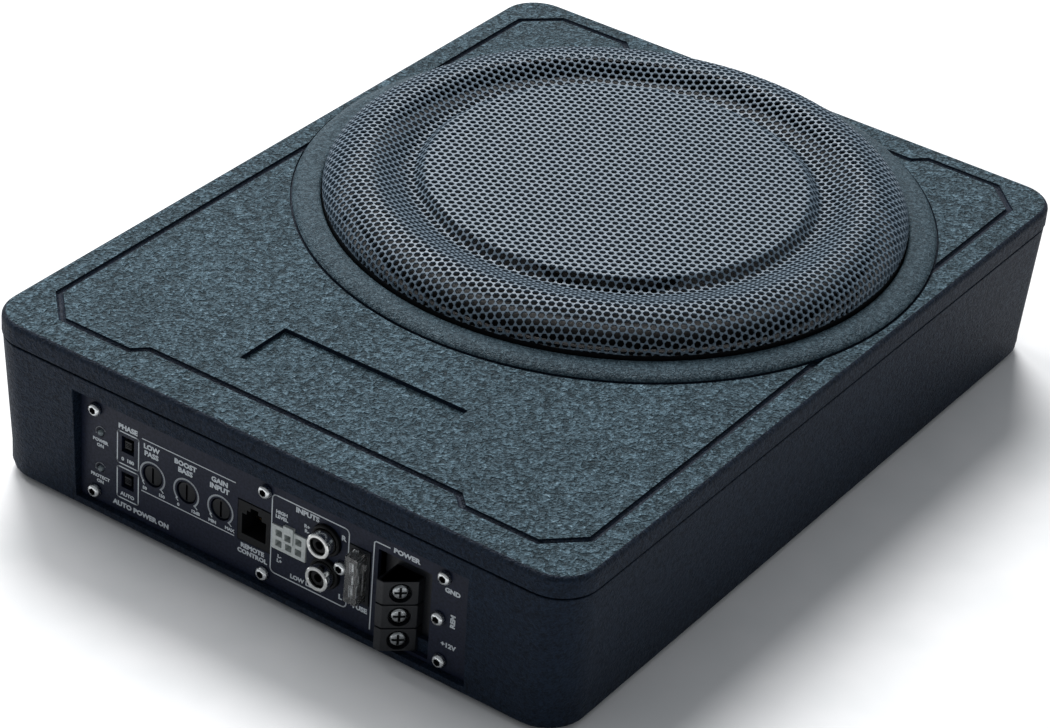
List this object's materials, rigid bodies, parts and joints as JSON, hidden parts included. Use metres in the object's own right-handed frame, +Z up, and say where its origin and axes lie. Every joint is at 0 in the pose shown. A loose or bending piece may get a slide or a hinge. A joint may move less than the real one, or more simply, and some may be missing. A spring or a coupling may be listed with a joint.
{
  "type": "car subwoofer",
  "caption": "Slim powered under-seat car subwoofer: textured flat enclosure, domed perforated grille over the woofer, and a recessed end panel with controls, sockets and screw terminals",
  "frame": {"origin": "On the floor, under the middle of the enclosure's outline, level with the rubber feet", "axes": "+Z up out of the grille, +Y along the length away from the control panel, +X to the right as seen facing the control panel"},
  "size_m": [0.25, 0.3321, 0.0813],
  "materials": {
    "main_body": "black leather-grain powder coat",
    "top_cover": "dark blue-grey leather-grain powder coat",
    "rubber_foot": "matt",
    "black_screw": "blackened",
    "bright_screw": "bright plated",
    "grille_frame": "satin black",
    "grille_mesh": "perforated sheet, grey satin",
    "motor_steel": "zinc plated",
    "magnet": "ferrite ring",
    "basket": "black enamel",
    "surround": "matt butyl",
    "spider": "resined cloth",
    "cone": "pressed pulp, black",
    "voice_coil": "enamelled wire on a former",
    "control_panel": "smooth dark navy, printed in white",
    "led": "clear lens",
    "black_plastic": "moulded",
    "white_plastic": "moulded, natural white",
    "rca_shell": "nickel plated",
    "fuse": "clear body with tin blades",
    "amp_board": "green lacquered board",
    "toroid": "enamelled copper winding",
    "heat_sink": "extruded"
  },
  "bodies": {
    "enclosure": {"main_body": "main_body", "top_cover": "top_cover", "foot_front_left": "rubber_foot", "foot_front_right": "rubber_foot", "foot_back_left": "rubber_foot", "foot_back_right": "rubber_foot", "cover_screw_front_left": "black_screw", "cover_screw_front_right": "black_screw", "cover_screw_back_left": "black_screw", "cover_screw_back_right": "black_screw", "grille_frame": "grille_frame", "grille_mesh": "grille_mesh", "yoke": "motor_steel", "magnet": "magnet", "top_plate": "motor_steel", "basket": "basket", "woofer_screw_1": "black_screw", "woofer_screw_2": "black_screw", "woofer_screw_3": "black_screw", "woofer_screw_4": "black_screw", "surround": "surround", "spider": "spider", "control_panel": "control_panel", "panel_screw_top_left": "bright_screw", "panel_screw_bottom_left": "bright_screw", "panel_screw_top_middle": "bright_screw", "panel_screw_bottom_middle": "bright_screw", "panel_screw_top_right": "bright_screw", "panel_screw_middle_right": "bright_screw", "panel_screw_bottom_right": "bright_screw", "panel_screw_inputs": "bright_screw", "power_led": "led", "protect_led": "led", "phase_switch_body": "black_plastic", "power_switch_body": "black_plastic", "low_pass_body": "black_plastic", "bass_boost_body": "black_plastic", "input_gain_body": "black_plastic", "remote_jack": "black_plastic", "input_header": "white_plastic", "rca_block": "black_plastic", "rca_shell_right": "rca_shell", "rca_shell_left": "rca_shell", "fuse_holder": "black_plastic", "terminal_block": "black_plastic", "amp_board": "amp_board", "toroid": "toroid", "heat_sink": "heat_sink"},
    "cone_assembly": {"cone": "cone", "dust_cap": "cone", "voice_coil": "voice_coil"},
    "phase_knob": {"phase_switch_knob": "black_plastic"},
    "power_knob": {"power_switch_knob": "black_plastic"},
    "low_pass_control": {"low_pass_knob": "black_plastic"},
    "bass_boost_control": {"bass_boost_knob": "black_plastic"},
    "input_gain_control": {"input_gain_knob": "black_plastic"},
    "fuse_link": {"fuse": "fuse"},
    "supply_screw": {"terminal_screw_supply": "bright_screw"},
    "remote_screw": {"terminal_screw_remote": "bright_screw"},
    "ground_screw": {"terminal_screw_ground": "bright_screw"}
  },
  "joints": [
    {"name": "cone_travel", "type": "slide", "parent": "enclosure", "child": "cone_assembly", "axis": [0, 0, 1], "range_m": [-0.005, 0.005], "stiffness_N_per_m": 1500, "deforming": ["surround", "spider"]},
    {"name": "phase_slide", "type": "slide", "parent": "enclosure", "child": "phase_knob", "axis": [0, 0, 1], "range_m": [-0.0013, 0.0013]},
    {"name": "power_slide", "type": "slide", "parent": "enclosure", "child": "power_knob", "axis": [0, 0, 1], "range_m": [-0.0013, 0.0013]},
    {"name": "low_pass_turn", "type": "hinge", "parent": "enclosure", "child": "low_pass_control", "pos_m": [-0.0518, -0.1578, 0.0271], "axis": [0, -1, 0], "range_deg": [-150, 150]},
    {"name": "bass_boost_turn", "type": "hinge", "parent": "enclosure", "child": "bass_boost_control", "pos_m": [-0.0367, -0.1578, 0.0271], "axis": [0, -1, 0], "range_deg": [-150, 150]},
    {"name": "input_gain_turn", "type": "hinge", "parent": "enclosure", "child": "input_gain_control", "pos_m": [-0.0216, -0.1578, 0.0271], "axis": [0, -1, 0], "range_deg": [-150, 150]},
    {"name": "fuse_pull", "type": "slide", "parent": "enclosure", "child": "fuse_link", "axis": [0, -1, 0], "range_m": [0, 0.016]},
    {"name": "supply_screw_turn", "type": "hinge", "parent": "enclosure", "child": "supply_screw", "pos_m": [0.0575, -0.16315, 0.01215], "axis": [0.6597, -0.7515, 0], "range_deg": [0, 360]},
    {"name": "remote_screw_turn", "type": "hinge", "parent": "enclosure", "child": "remote_screw", "pos_m": [0.0575, -0.16315, 0.02185], "axis": [0.6597, -0.7515, 0], "range_deg": [0, 360]},
    {"name": "ground_screw_turn", "type": "hinge", "parent": "enclosure", "child": "ground_screw", "pos_m": [0.0575, -0.16315, 0.03155], "axis": [0.6597, -0.7515, 0], "range_deg": [0, 360]}
  ]
}
